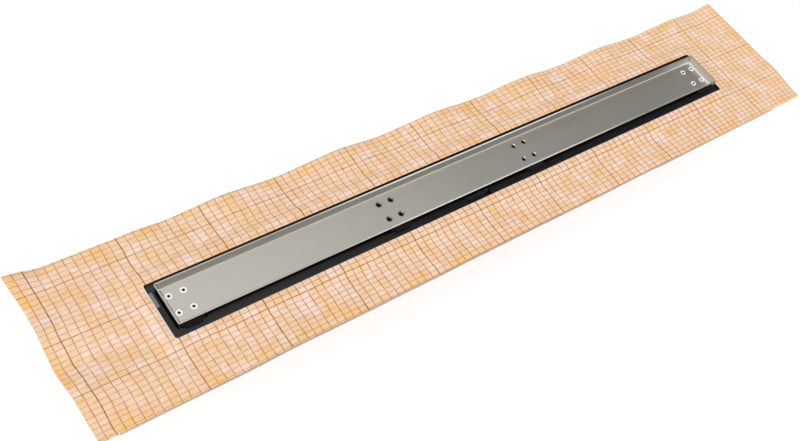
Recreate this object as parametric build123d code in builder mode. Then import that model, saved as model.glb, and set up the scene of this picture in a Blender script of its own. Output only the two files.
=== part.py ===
from build123d import *
import os
from math import sqrt

# Linear shower drain: a tile tray on four screwed supports rests in a moulded
# channel, with a sealing membrane bonded to the channel's flange, a dry trap and
# an outlet body below the middle, and four levelling feet.
# Millimetres, +Z up. X runs along the drain and Y across it, towards the outlet.
# The origin lies on the ground, under the middle of the drain.

# Sealing membrane
membrane_length = 1140.0
membrane_width = 212.0
membrane_thickness = 0.8

# Channel body
opening_length = 900.0
opening_width = 71.0
opening_corner_radius = 3.0
flange_border = 30.0
flange_thickness = 3.0
flange_corner_radius = 12.0
rim_height = 3.5
rim_width = 3.0
rim_run = 9.0
channel_wall = 3.0
ledge_depth = 2.5
ledge_width = 8.0
pocket_length = 38.0
pocket_depth = 8.0
pocket_shift = -18.0
trough_end_depth = 17.5
floor_fall = 6.0
trough_corner_radius = 4.0
rib_count = 8
rib_thickness = 2.5
rib_height = 10.0
rib_setback = 6.0

# Cover tray, folded from one sheet, with sides that lean out
slot_width = 7.5
sheet_thickness = 1.2
bend_radius = 1.0
tray_side_height = 8.5
tray_side_run = 4.5
corner_slit = 0.8

# Tray screws, four to a group
screw_head_radius = 4.0
screw_shank_radius = 1.75
screw_head_land = 0.2
screw_socket_radius = 1.6
screw_socket_depth = 1.6
screw_pitch_along = 18.0
screw_pitch_across = 23.0
screw_end_inset = 10.6
screw_fit = 0.1
screw_tip_gap = 1.5
middle_group_offset = 111.0
middle_group_shift = -27.6

# Tray supports
support_thickness = 3.0
support_margin = 5.5
support_seat = 3.5
support_corner_cut = 5.0
support_boss_radius = 4.2
support_boss_floor_gap = 4.0
support_rib_thickness = 2.0
support_side_play = 1.5

# End spacers
spacer_length = 19.5
spacer_width = 5.0
spacer_height = 2.0
spacer_offset = 15.4
spacer_fit = 0.2
spacer_edge_radius = 0.8

# Well in the channel floor, and the trap insert that sits in it
well_side_margin = 2.5
well_land_margin = 6.0
well_boss_height = 11.0
seat_width = 2.5
insert_flange_thickness = 3.0
insert_fit = 0.3
insert_wall = 2.0
insert_neck_drop = 8.0
seal_section_radius = 1.25
seal_groove_play = 0.15

# Hair strainer
strainer_thickness = 2.0
strainer_rim = 5.0
strainer_ring_count = 3
strainer_holes_per_ring = 6
strainer_hole_radius = 2.2
grip_post_radius = 2.5
grip_post_height = 5.0
grip_button_radius = 6.0
grip_button_height = 2.5
grip_edge_radius = 1.0

# Trap membrane, a duckbill on the neck of the insert
collar_wall = 2.0
collar_height = 7.0
collar_fit = 0.1
bill_length = 22.0
bill_wall = 2.0
bill_gap = 0.8

# Outlet body
outlet_radius = 20.0
outlet_wall = 2.5
outlet_reach = 100.0
outlet_chamfer = 1.5
stop_collar_gap = 14.0
stop_collar_width = 4.0
stop_collar_height = 3.0
pot_margin = 5.5
pot_wall = 3.0
pot_headroom = 5.0
pot_sump_depth = 2.0
pot_edge_radius = 2.0
pot_flange_thickness = 4.0
gasket_thickness = 1.5
gasket_setback = 1.0
ground_gap = 1.5

# Outlet screws
outlet_screw_head_radius = 4.0
outlet_screw_head_height = 3.0
outlet_screw_shank_radius = 2.0
outlet_screw_grip = 8.0
outlet_screw_fit = 0.1
outlet_screw_pot_gap = 2.5
outlet_screw_spigot_gap = 3.9
outlet_screw_edge = 1.5
outlet_screw_socket_radius = 1.8
outlet_screw_socket_depth = 1.8

# Levelling feet
foot_inset = 100.0
foot_boss_radius = 8.0
foot_boss_drop = 4.0
stud_radius = 4.0
stud_fit = 0.1
stud_engagement = 12.0
stud_end_gap = 0.5
stud_chamfer = 0.7
nut_across_flats = 13.0
nut_height = 6.5
pad_radius = 18.0
pad_thickness = 4.0
pad_floor = 2.5
hub_radius = 9.0
hub_height = 10.0
pad_edge_radius = 1.0

# Sizes in plan that follow
flange_length = opening_length + 2 * flange_border
flange_width = opening_width + 2 * flange_border
trough_length = opening_length - 2 * ledge_width
trough_width = opening_width - 2 * ledge_width
tray_length = opening_length - 2 * slot_width
tray_width = opening_width - 2 * slot_width
tray_lean = tray_side_run / tray_side_height
tray_wall = sheet_thickness * sqrt(1 + tray_lean**2)
end_group_offset = tray_length / 2 - screw_end_inset - screw_pitch_along / 2
group_offsets = (
    -end_group_offset,
    middle_group_shift - middle_group_offset,
    middle_group_shift + middle_group_offset,
    end_group_offset,
)
support_length = screw_pitch_along + 2 * support_margin
support_width = trough_width + 2 * support_seat
well_radius = trough_width / 2 - well_side_margin
bore_radius = well_radius - seat_width
neck_radius = bore_radius - 2 * seal_section_radius
neck_bore = neck_radius - insert_wall
collar_bore = neck_radius + collar_fit
collar_radius = collar_bore + collar_wall
pot_bore = bore_radius + pot_margin
pot_radius = pot_bore + pot_wall
outlet_bore = outlet_radius - outlet_wall
bolt_circle_radius = pot_radius + outlet_screw_head_radius + outlet_screw_pot_gap
bolt_x = outlet_radius + outlet_screw_head_radius + outlet_screw_spigot_gap
bolt_y = sqrt(bolt_circle_radius**2 - bolt_x**2)
joint_flange_radius = bolt_circle_radius + outlet_screw_head_radius + outlet_screw_edge
foot_x = flange_length / 2 - foot_inset
foot_y = (opening_width + flange_border) / 2

# Heights that follow, from the ground up
outlet_axis_z = ground_gap + outlet_radius + stop_collar_height
pot_floor_z = outlet_axis_z - outlet_bore - pot_sump_depth
pot_under_z = pot_floor_z - pot_wall
pot_top_z = outlet_axis_z + outlet_bore + pot_headroom
pot_flange_under_z = pot_top_z - pot_flange_thickness
well_boss_z = pot_top_z + gasket_thickness
well_floor_z = well_boss_z + well_boss_height + channel_wall
seat_z = well_floor_z - insert_flange_thickness - strainer_thickness
insert_top_z = seat_z + insert_flange_thickness
neck_end_z = well_boss_z - insert_neck_drop
trough_end_z = well_floor_z + floor_fall
ledge_z = trough_end_z + trough_end_depth
rim_top_z = ledge_z + ledge_depth
flange_top_z = rim_top_z - rim_height
flange_under_z = flange_top_z - flange_thickness
tray_under_z = ledge_z + support_thickness
tray_floor_z = tray_under_z + sheet_thickness
tray_top_z = tray_floor_z + tray_side_height
support_boss_z = trough_end_z + support_boss_floor_gap
foot_boss_z = flange_under_z - rib_height - foot_boss_drop


def half_section(points):
    """Closed half section on the XZ plane, from (radius, height) points."""
    with BuildSketch(Plane.XZ) as section:
        with BuildLine():
            Polyline(*points, close=True)
        make_face()
    return section.sketch


def trough_side(half_length, floor_drop):
    """Side view of the trough: level top, floor falling from both ends to the well."""
    half_land = well_radius + well_land_margin
    end_z = trough_end_z - floor_drop
    land_z = well_floor_z - floor_drop
    return half_section(
        [
            (-half_length, ledge_z),
            (-half_length, end_z),
            (-half_land, land_z),
            (half_land, land_z),
            (half_length, end_z),
            (half_length, ledge_z),
        ]
    )


def tray_block(low_z, inset, edge_radius):
    """Solid block with the tray's leaning sides, set in from its outside, its bottom edges rounded."""
    with BuildPart() as block:
        for section_z in (low_z, tray_top_z):
            margin = inset + tray_lean * (tray_top_z - section_z)
            with BuildSketch(Plane.XY.offset(section_z)):
                Rectangle(tray_length - 2 * margin, tray_width - 2 * margin)
        loft(ruled=True)
        fillet(block.faces().sort_by(Axis.Z)[0].edges(), edge_radius)
    return block.part


def tray_screw_outline(play):
    """Half section of a tray screw, its head countersunk in the sheet, grown by the play around it."""
    head_under_z = tray_floor_z - screw_head_land
    return half_section(
        [
            (0, tray_floor_z),
            (screw_head_radius + play, tray_floor_z),
            (screw_head_radius + play, head_under_z),
            (screw_shank_radius + play, tray_under_z),
            (screw_shank_radius + play, support_boss_z + screw_tip_gap - play),
            (0, support_boss_z + screw_tip_gap - play),
        ]
    )


# Rim round the opening: level on top, sloping out to the flange
with BuildPart() as rim_form:
    for section_z, margin in ((flange_top_z, rim_width + rim_run), (rim_top_z, rim_width)):
        with BuildSketch(Plane.XY.offset(section_z)):
            RectangleRounded(
                opening_length + 2 * margin,
                opening_width + 2 * margin,
                opening_corner_radius + margin,
            )
    loft(ruled=True)

# Sealing membrane: sheet on the flange that rises over the rim, with the opening cut out
with BuildPart() as sealing_membrane:
    with BuildSketch(Plane.XY.offset(flange_top_z)):
        Rectangle(membrane_length, membrane_width)
    extrude(amount=membrane_thickness)
    with Locations((0, 0, membrane_thickness)):
        add(rim_form.part)
    add(rim_form.part, mode=Mode.SUBTRACT)
    with BuildSketch(Plane.XY.offset(flange_top_z)):
        RectangleRounded(opening_length, opening_width, opening_corner_radius)
    extrude(amount=rim_height + membrane_thickness, mode=Mode.SUBTRACT)

# Hollow of the trough, with rounded corners
with BuildPart() as trough_hollow:
    extrude(trough_side(trough_length / 2, 0), amount=trough_width / 2, both=True)
    fillet(trough_hollow.edges().filter_by(Axis.Z), trough_corner_radius)

# Channel body: flange, rim, ledge with finger pockets, trough, well and foot bosses in one moulding
with BuildPart() as channel_body:
    with BuildSketch(Plane.XY.offset(flange_under_z)):
        RectangleRounded(flange_length, flange_width, flange_corner_radius)
    extrude(amount=flange_thickness)
    add(rim_form.part)
    with BuildSketch(Plane.XY.offset(rim_top_z)):
        RectangleRounded(
            opening_length + 2 * channel_wall,
            opening_width + 2 * channel_wall,
            opening_corner_radius + channel_wall,
        )
    extrude(amount=-(ledge_depth + channel_wall))
    with BuildSketch(Plane.XY.offset(ledge_z)):
        with Locations((pocket_shift, 0)):
            Rectangle(pocket_length + 2 * channel_wall, opening_width + 2 * channel_wall)
    extrude(amount=-(pocket_depth + channel_wall))
    extrude(
        trough_side(trough_length / 2 + channel_wall, channel_wall),
        amount=trough_width / 2 + channel_wall,
        both=True,
    )
    with BuildSketch(Plane.XY.offset(well_boss_z)):
        Circle(joint_flange_radius)
    extrude(amount=well_boss_height)
    for side in (-1, 1):
        rib_reach = flange_border - rib_setback
        with BuildSketch(Plane.XY.offset(flange_under_z)):
            with Locations((0, side * (opening_width + rib_reach) / 2)):
                with GridLocations(opening_length / rib_count, 0, rib_count, 1):
                    Rectangle(rib_thickness, rib_reach)
        extrude(amount=-rib_height)
    with BuildSketch(Plane.XY.offset(foot_boss_z)):
        with GridLocations(2 * foot_x, 2 * foot_y, 2, 2):
            Circle(foot_boss_radius)
    extrude(amount=flange_under_z - foot_boss_z)
    with BuildSketch(Plane.XY.offset(rim_top_z)):
        RectangleRounded(opening_length, opening_width, opening_corner_radius)
    extrude(amount=-ledge_depth, mode=Mode.SUBTRACT)
    with BuildSketch(Plane.XY.offset(ledge_z)):
        with Locations((pocket_shift, 0)):
            Rectangle(pocket_length, opening_width)
    extrude(amount=-pocket_depth, mode=Mode.SUBTRACT)
    add(trough_hollow.part, mode=Mode.SUBTRACT)
    with BuildSketch(Plane.XY.offset(well_floor_z)):
        Circle(well_radius)
    extrude(amount=seat_z - well_floor_z, mode=Mode.SUBTRACT)
    with BuildSketch(Plane.XY.offset(seat_z)):
        Circle(bore_radius)
    extrude(amount=well_boss_z - seat_z, mode=Mode.SUBTRACT)
    with BuildSketch(Plane.XY.offset(well_boss_z)):
        with GridLocations(2 * bolt_x, 2 * bolt_y, 2, 2):
            Circle(outlet_screw_shank_radius + outlet_screw_fit)
    extrude(amount=outlet_screw_grip + outlet_screw_fit, mode=Mode.SUBTRACT)
    with BuildSketch(Plane.XY.offset(foot_boss_z)):
        with GridLocations(2 * foot_x, 2 * foot_y, 2, 2):
            Circle(stud_radius + stud_fit)
    extrude(amount=stud_engagement, mode=Mode.SUBTRACT)

# Space that one tray screw needs in the tray and in its support
with BuildPart() as tray_screw_space:
    revolve(tray_screw_outline(screw_fit), axis=Axis.Z)

# Cover tray: folded sheet with leaning sides, slit at the four corners
with BuildPart() as cover_tray:
    add(tray_block(tray_under_z, 0, bend_radius + sheet_thickness))
    add(tray_block(tray_floor_z, tray_wall, bend_radius), mode=Mode.SUBTRACT)
    slit_z = tray_floor_z + bend_radius
    with BuildSketch(Plane.XY.offset(slit_z)):
        for side_x, side_y in ((-1, -1), (-1, 1), (1, -1), (1, 1)):
            corner = (side_x * tray_length / 2, side_y * tray_width / 2)
            with Locations(Location((*corner, 0), (0, 0, 45 * side_x * side_y))):
                Rectangle(4 * tray_side_run, corner_slit)
    extrude(amount=tray_top_z - slit_z, mode=Mode.SUBTRACT)
    for offset_x in group_offsets:
        with Locations((offset_x, 0)):
            with GridLocations(screw_pitch_along, screw_pitch_across, 2, 2):
                add(tray_screw_space.part, mode=Mode.SUBTRACT)

# One tray support: plate on the ledges, with ribs and screw bosses below
with BuildPart() as support_form:
    with BuildSketch(Plane.XY.offset(ledge_z)) as plate:
        Rectangle(support_length, support_width)
        chamfer(plate.vertices(), support_corner_cut)
    extrude(amount=support_thickness)
    with BuildSketch(Plane.XY.offset(ledge_z)):
        with GridLocations(screw_pitch_along, 0, 2, 1):
            Rectangle(support_rib_thickness, trough_width - 2 * support_side_play)
        with GridLocations(screw_pitch_along, screw_pitch_across, 2, 2):
            Circle(support_boss_radius)
    extrude(amount=support_boss_z - ledge_z)
    with GridLocations(screw_pitch_along, screw_pitch_across, 2, 2):
        add(tray_screw_space.part, mode=Mode.SUBTRACT)

# One tray screw: countersunk head with a six-sided socket
with BuildPart() as screw_form:
    revolve(tray_screw_outline(0), axis=Axis.Z)
    with BuildSketch(Plane.XY.offset(tray_floor_z)):
        RegularPolygon(screw_socket_radius, 6)
    extrude(amount=-screw_socket_depth, mode=Mode.SUBTRACT)

# Tray screws: all sixteen
with BuildPart() as tray_screws:
    for offset_x in group_offsets:
        with Locations((offset_x, 0)):
            with GridLocations(screw_pitch_along, screw_pitch_across, 2, 2):
                add(screw_form.part)

# One end spacer: block on the end ledge, between the channel and the tray
with BuildPart() as spacer_form:
    with BuildSketch(Plane.XY.offset(ledge_z)):
        with Locations((spacer_width / 2 + spacer_fit - opening_length / 2, spacer_offset)):
            Rectangle(spacer_width, spacer_length)
    extrude(amount=spacer_height)
    fillet(spacer_form.faces().sort_by(Axis.Z)[-1].edges(), spacer_edge_radius)

# Hair strainer: perforated disc with a grip to lift it by
with BuildPart() as hair_strainer:
    strainer_radius = well_radius - insert_fit
    with BuildSketch(Plane.XY.offset(insert_top_z)):
        Circle(strainer_radius)
        for ring in range(1, strainer_ring_count + 1):
            ring_radius = ring * (strainer_radius - strainer_rim) / strainer_ring_count
            with PolarLocations(ring_radius, ring * strainer_holes_per_ring):
                Circle(strainer_hole_radius, mode=Mode.SUBTRACT)
    extrude(amount=strainer_thickness)
    with BuildSketch(Plane.XY.offset(well_floor_z)):
        Circle(grip_post_radius)
    extrude(amount=grip_post_height)
    with BuildSketch(Plane.XY.offset(well_floor_z + grip_post_height)):
        Circle(grip_button_radius)
    extrude(amount=grip_button_height)
    fillet(hair_strainer.edges().group_by(Axis.Z)[-1], grip_edge_radius)

# Trap insert: flange on the seat, grooved barrel in the bore, neck for the duckbill
groove_z = (seat_z + well_boss_z) / 2
groove_half = seal_section_radius + seal_groove_play
with BuildPart() as trap_insert:
    barrel_radius = bore_radius - insert_fit
    outline = [
        (neck_bore, insert_top_z),
        (well_radius - insert_fit, insert_top_z),
        (well_radius - insert_fit, seat_z),
        (barrel_radius, seat_z),
        (barrel_radius, groove_z + groove_half),
        (neck_radius, groove_z + groove_half),
        (neck_radius, groove_z - groove_half),
        (barrel_radius, groove_z - groove_half),
        (barrel_radius, well_boss_z),
        (neck_radius, well_boss_z),
        (neck_radius, neck_end_z),
        (neck_bore, neck_end_z),
    ]
    revolve(half_section(outline), axis=Axis.Z)

# Insert seal: ring in the groove, against the bore
with BuildPart() as insert_seal:
    with Locations((0, 0, groove_z)):
        Torus(bore_radius - seal_section_radius, seal_section_radius)

# Trap membrane: collar on the neck, narrowing to a flat bill
with BuildPart() as trap_membrane:
    bill_width = 2 * neck_radius
    for collar_edge, tip_width, tip_thickness, mode in (
        (collar_radius, bill_width, 2 * bill_wall + bill_gap, Mode.ADD),
        (neck_bore, bill_width - 2 * bill_wall, bill_gap, Mode.SUBTRACT),
    ):
        with BuildSketch(Plane.XY.offset(neck_end_z)) as root_section:
            Circle(collar_edge)
        with BuildSketch(Plane.XY.offset(neck_end_z - bill_length)) as tip_section:
            Rectangle(tip_width, tip_thickness)
        loft(mode=mode)
    with BuildSketch(Plane.XY.offset(neck_end_z)):
        Circle(collar_radius)
        Circle(collar_bore, mode=Mode.SUBTRACT)
    extrude(amount=collar_height)

# Outlet body: pot below the well, with a spigot for the waste pipe
with BuildPart() as outlet_body:
    with BuildSketch(Plane.XY.offset(pot_under_z)):
        Circle(pot_radius)
    extrude(amount=pot_top_z - pot_under_z)
    fillet(outlet_body.edges().group_by(Axis.Z)[0], pot_edge_radius)
    with BuildSketch(Plane.XY.offset(pot_flange_under_z)):
        Circle(joint_flange_radius)
    extrude(amount=pot_flange_thickness)
    with BuildSketch(Plane.XZ):
        with Locations((0, outlet_axis_z)):
            Circle(outlet_radius)
    extrude(amount=-outlet_reach)
    chamfer(outlet_body.edges().sort_by(Axis.Y)[-1], outlet_chamfer)
    with BuildSketch(Plane.XZ.offset(-(pot_radius + stop_collar_gap))):
        with Locations((0, outlet_axis_z)):
            Circle(outlet_radius + stop_collar_height)
    extrude(amount=-stop_collar_width)
    with BuildSketch(Plane.XY.offset(pot_floor_z)):
        Circle(pot_bore)
    extrude(amount=pot_top_z - pot_floor_z, mode=Mode.SUBTRACT)
    with BuildSketch(Plane.XZ):
        with Locations((0, outlet_axis_z)):
            Circle(outlet_bore)
    extrude(amount=-outlet_reach, mode=Mode.SUBTRACT)
    with BuildSketch(Plane.XY.offset(pot_flange_under_z)):
        with GridLocations(2 * bolt_x, 2 * bolt_y, 2, 2):
            Circle(outlet_screw_shank_radius + outlet_screw_fit)
    extrude(amount=pot_flange_thickness, mode=Mode.SUBTRACT)

# Outlet gasket: flat ring between channel and outlet body
with BuildPart() as outlet_gasket:
    with BuildSketch(Plane.XY.offset(pot_top_z)):
        Circle(joint_flange_radius)
        Circle(pot_bore + gasket_setback, mode=Mode.SUBTRACT)
        with GridLocations(2 * bolt_x, 2 * bolt_y, 2, 2):
            Circle(outlet_screw_shank_radius + outlet_screw_fit, mode=Mode.SUBTRACT)
    extrude(amount=gasket_thickness)

# Outlet screws: four, from below
with BuildPart() as outlet_screws:
    with BuildSketch(Plane.XY.offset(pot_flange_under_z)):
        with GridLocations(2 * bolt_x, 2 * bolt_y, 2, 2):
            Circle(outlet_screw_head_radius)
    extrude(amount=-outlet_screw_head_height)
    with BuildSketch(Plane.XY.offset(pot_flange_under_z)):
        with GridLocations(2 * bolt_x, 2 * bolt_y, 2, 2):
            Circle(outlet_screw_shank_radius)
    extrude(amount=well_boss_z + outlet_screw_grip - pot_flange_under_z)
    with BuildSketch(Plane.XY.offset(pot_flange_under_z - outlet_screw_head_height)):
        with GridLocations(2 * bolt_x, 2 * bolt_y, 2, 2):
            RegularPolygon(outlet_screw_socket_radius, 6)
    extrude(amount=outlet_screw_socket_depth, mode=Mode.SUBTRACT)

# Levelling studs: four threaded rods from the pads up into the channel's foot bosses
stud_top_z = foot_boss_z + stud_engagement - stud_end_gap
with BuildPart() as levelling_studs:
    with BuildSketch(Plane.XY.offset(pad_floor)):
        with GridLocations(2 * foot_x, 2 * foot_y, 2, 2):
            Circle(stud_radius)
    extrude(amount=stud_top_z - pad_floor)
    chamfer(levelling_studs.edges().filter_by(GeomType.CIRCLE), stud_chamfer)

# Lock nuts: one under each foot boss
with BuildPart() as lock_nuts:
    with BuildSketch(Plane.XY.offset(foot_boss_z)):
        with GridLocations(2 * foot_x, 2 * foot_y, 2, 2):
            RegularPolygon(nut_across_flats / 2, 6, major_radius=False)
            Circle(stud_radius + stud_fit, mode=Mode.SUBTRACT)
    extrude(amount=-nut_height)

# Foot pads: round pads with a hub that takes the stud
with BuildPart() as foot_pads:
    with BuildSketch():
        with GridLocations(2 * foot_x, 2 * foot_y, 2, 2):
            Circle(pad_radius)
    extrude(amount=pad_thickness)
    fillet(foot_pads.edges().group_by(Axis.Z)[-1], pad_edge_radius)
    with BuildSketch(Plane.XY.offset(pad_floor)):
        with GridLocations(2 * foot_x, 2 * foot_y, 2, 2):
            Circle(hub_radius)
    extrude(amount=hub_height - pad_floor)
    with BuildSketch(Plane.XY.offset(pad_floor)):
        with GridLocations(2 * foot_x, 2 * foot_y, 2, 2):
            Circle(stud_radius + stud_fit)
    extrude(amount=hub_height - pad_floor, mode=Mode.SUBTRACT)

pieces = {
    "sealing_membrane": sealing_membrane,
    "channel_body": channel_body,
    "cover_tray": cover_tray,
    "tray_screws": tray_screws,
    "hair_strainer": hair_strainer,
    "trap_insert": trap_insert,
    "insert_seal": insert_seal,
    "trap_membrane": trap_membrane,
    "outlet_body": outlet_body,
    "outlet_gasket": outlet_gasket,
    "outlet_screws": outlet_screws,
    "levelling_studs": levelling_studs,
    "lock_nuts": lock_nuts,
    "foot_pads": foot_pads,
}

# Tray supports: one under each group of screws
for number, offset_x in enumerate(group_offsets, start=1):
    with BuildPart() as tray_support:
        with Locations((offset_x, 0)):
            add(support_form.part)
    pieces[f"tray_support_{number}"] = tray_support

# End spacers: the right one is the left one turned half round
for name, turn in (("end_spacer_left", 0), ("end_spacer_right", 180)):
    with BuildPart() as end_spacer:
        add(spacer_form.part, rotation=(0, 0, turn))
    pieces[name] = end_spacer

os.makedirs("parts", exist_ok=True)
for name, piece in pieces.items():
    piece.part.label = name
    export_step(piece.part, f"parts/{name}.step")
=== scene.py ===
"""Looks of a linear shower drain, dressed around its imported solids.

X runs along the drain, Y across it towards the outlet and Z up, with the ground at zero.
Lengths are metres, and most are written as millimetres times MM.
"""

import logging
from dataclasses import asdict, dataclass
from enum import Enum
from math import cos, pi, radians, sin

import bmesh
import bpy
import numpy as np
from mathutils import Matrix, Vector, noise


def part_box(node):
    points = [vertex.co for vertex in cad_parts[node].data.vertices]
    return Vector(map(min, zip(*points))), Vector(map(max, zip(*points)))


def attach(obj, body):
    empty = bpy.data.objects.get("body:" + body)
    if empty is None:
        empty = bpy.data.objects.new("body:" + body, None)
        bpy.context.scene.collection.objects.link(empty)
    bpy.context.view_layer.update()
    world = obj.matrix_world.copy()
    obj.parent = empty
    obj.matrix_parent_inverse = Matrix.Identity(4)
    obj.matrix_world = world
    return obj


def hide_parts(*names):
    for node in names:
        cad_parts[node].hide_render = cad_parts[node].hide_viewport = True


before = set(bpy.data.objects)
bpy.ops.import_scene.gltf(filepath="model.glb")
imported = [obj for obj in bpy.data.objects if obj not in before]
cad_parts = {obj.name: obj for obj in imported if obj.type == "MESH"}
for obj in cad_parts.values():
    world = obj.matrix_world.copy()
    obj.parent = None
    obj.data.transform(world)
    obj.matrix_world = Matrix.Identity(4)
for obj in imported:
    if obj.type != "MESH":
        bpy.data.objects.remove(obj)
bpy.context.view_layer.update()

MM = 0.001
BODY = "root"
SHARP_ANGLE = radians(32)
HEX_SIDES = 6
GROUP_SIDE = 2
TURN_SEED = 7
RING_POINTS = 36
CORE_SIDES = 32
RIDGE_SIDES = 4
HELIX_STEPS = 20

Colour = tuple[float, float, float]
Socket = bpy.types.NodeSocket
Piece = bpy.types.Object
Feed = Socket | float | tuple

log = logging.getLogger("drain")


def srgb(red: int, green: int, blue: int) -> Colour:
    """Linear colour of a screen colour, each channel from 0 to 255."""
    shares = (channel / 255 for channel in (red, green, blue))
    return tuple(s / 12.92 if s <= 0.04045 else ((s + 0.055) / 1.055) ** 2.4 for s in shares)


def smooth_step(share: np.ndarray) -> np.ndarray:
    """Eases from 0 to 1 as the share does, level at both ends."""
    share = np.clip(share, 0.0, 1.0)
    return share * share * (3.0 - 2.0 * share)


def soft_noise(x: np.ndarray, y: np.ndarray, level: float) -> np.ndarray:
    """Smooth noise from -1 to 1 at points of one level plane."""
    return np.array([noise.noise(Vector((a, b, level))) for a, b in zip(x, y)])


def place_piece(name: str, data: bpy.types.Mesh | bpy.types.Light | bpy.types.Camera) -> Piece:
    """Object at the origin that shows the data.

    Args:
        name: Its name.
        data: Mesh, light or camera that it shows.

    Returns:
        The object.
    """
    piece = bpy.data.objects.new(name, data)
    bpy.context.scene.collection.objects.link(piece)
    return piece


def settle(piece: Piece) -> None:
    """Replaces a piece's mesh by what its modifiers make of it, and marks its sharp edges.

    Args:
        piece: Object in the scene whose modifiers are complete.
    """
    graph = bpy.context.evaluated_depsgraph_get()
    mesh = bpy.data.meshes.new_from_object(piece.evaluated_get(graph), depsgraph=graph)
    piece.modifiers.clear()
    piece.data = mesh
    mesh.name = piece.name
    mesh.polygons.foreach_set("use_smooth", np.ones(len(mesh.polygons), bool))
    mesh.set_sharp_from_angle(angle=SHARP_ANGLE)


def declare(piece: Piece, node: str) -> Piece:
    """Makes a piece stand for a CAD node on the drain's one body.

    Args:
        piece: The object.
        node: Name of the CAD node.

    Returns:
        The same object.
    """
    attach(piece, BODY)
    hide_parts(node)
    return piece


def dress(node: str, material: bpy.types.Material) -> Piece:
    """Gives a CAD node its finish and returns its object.

    Args:
        node: Name of the CAD node.
        material: The finish.

    Returns:
        The node's object.
    """
    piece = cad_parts[node]
    if not piece.material_slots:
        piece.data.materials.append(material)
    for slot in piece.material_slots:
        slot.material = material
    return piece


@dataclass(frozen=True)
class Cloud:
    """Soft noise in a finish: its scale, its detail and how rough that detail is."""

    scale: float
    detail: float = 2.0
    roughness: float = 0.5


class NodeGraph:
    """Nodes of one tree, with the calls that finishes and shapes have in common."""

    def __init__(self, tree: bpy.types.NodeTree) -> None:
        """Works on a tree that exists."""
        self.tree = tree
        self.nodes = tree.nodes

    def feed(self, socket: Socket, value: Feed) -> None:
        """Links a socket to another one, or sets its value.

        Args:
            socket: The input.
            value: What goes in.
        """
        if isinstance(value, bpy.types.NodeSocket):
            self.tree.links.new(value, socket)
        elif isinstance(value, tuple) and len(socket.default_value) == len(value) + 1:
            socket.default_value = (*value, 1.0)
        else:
            socket.default_value = value

    def fill(self, node: bpy.types.Node, **values: Feed) -> None:
        """Feeds a node's inputs by name, in lower case and with underscores for spaces.

        Args:
            node: The node.
            values: What goes into each named input.
        """
        names = {s.name.lower().replace(" ", "_"): s for s in reversed(node.inputs) if s.enabled}
        for name, value in values.items():
            self.feed(names[name], value)

    def add(self, kind: str, settings: dict[str, str] | None = None, **values: Feed) -> Socket:
        """Adds a node.

        Args:
            kind: The node's type.
            settings: Properties of the node.
            values: Input names, as fill takes them, and what goes in.

        Returns:
            The node's first output that is in use.
        """
        node = self.nodes.new(kind)
        for name, value in (settings or {}).items():
            setattr(node, name, value)
        self.fill(node, **values)
        return next(output for output in node.outputs if output.enabled)

    def math(self, operation: str, *values: Socket | float) -> Socket:
        """One step of arithmetic.

        Args:
            operation: Name of the operation.
            values: What goes in, in order.

        Returns:
            The result.
        """
        node = self.nodes.new("ShaderNodeMath")
        node.operation = operation
        for socket, value in zip(node.inputs, values):
            self.feed(socket, value)
        return node.outputs[0]


class ShaderGraph(NodeGraph):
    """Shader of a material or of the world, with one short call for each kind of step in it."""

    def __init__(self, name: str, world: bpy.types.World | None = None) -> None:
        """Starts a material with a bare principled shader, or takes the world's shader.

        Args:
            name: Name of the material.
            world: The world, if it is not a material.
        """
        self.owner = world or bpy.data.materials.new(name)
        self.owner.use_nodes = True
        super().__init__(self.owner.node_tree)

    def surface(self, **values: Feed) -> bpy.types.Material:
        """Sets the principled shader's named inputs and returns the finished material."""
        self.fill(self.nodes["Principled BSDF"], **values)
        return self.owner

    def place(self, scale: tuple = (1, 1, 1), uv_map: str = "", shift: tuple = (0, 0, 0)) -> Socket:
        """Object coordinates, or those of a named UV map, scaled and shifted.

        Args:
            scale: Scale each way.
            uv_map: Name of the UV map, or nothing for Object coordinates.
            shift: Shift each way.

        Returns:
            The coordinates.
        """
        if uv_map:
            start = self.add("ShaderNodeUVMap", {"uv_map": uv_map})
        else:
            start = self.nodes.new("ShaderNodeTexCoord").outputs["Object"]
        return self.add("ShaderNodeMapping", vector=start, scale=scale, location=shift)

    def split(self, vector: Socket) -> list[Socket]:
        """The three parts of a vector."""
        return list(self.add("ShaderNodeSeparateXYZ", vector=vector).node.outputs)

    def ease(
        self, value: Socket, start: float, end: float, low: float = 0.0, high: float = 1.0
    ) -> Socket:
        """Runs smoothly from low to high while the value runs from start to end.

        Args:
            value: What is eased.
            start: Value at which the run starts.
            end: Value at which the run ends.
            low: Result at the start.
            high: Result at the end.

        Returns:
            The eased value.
        """
        limits = {"from_min": start, "from_max": end, "to_min": low, "to_max": high}
        smooth = {"interpolation_type": "SMOOTHSTEP"}
        return self.add("ShaderNodeMapRange", smooth, value=value, **limits)

    def mix(self, share: Socket, first: Socket | Colour, second: Socket | Colour) -> Socket:
        """Colour between the first, where the share is 0, and the second, where it is 1."""
        return self.add("ShaderNodeMix", {"data_type": "RGBA"}, factor=share, a=first, b=second)

    def cloud(self, place: Socket, kind: Cloud) -> Socket:
        """Soft noise from 0 to 1."""
        return self.add("ShaderNodeTexNoise", vector=place, **asdict(kind))

    def bump(self, height: Socket, depth: float, strength: float) -> Socket:
        """Normal of a surface that the height, from 0 to 1, lifts by up to the depth."""
        return self.add("ShaderNodeBump", height=height, distance=depth, strength=strength)


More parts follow.
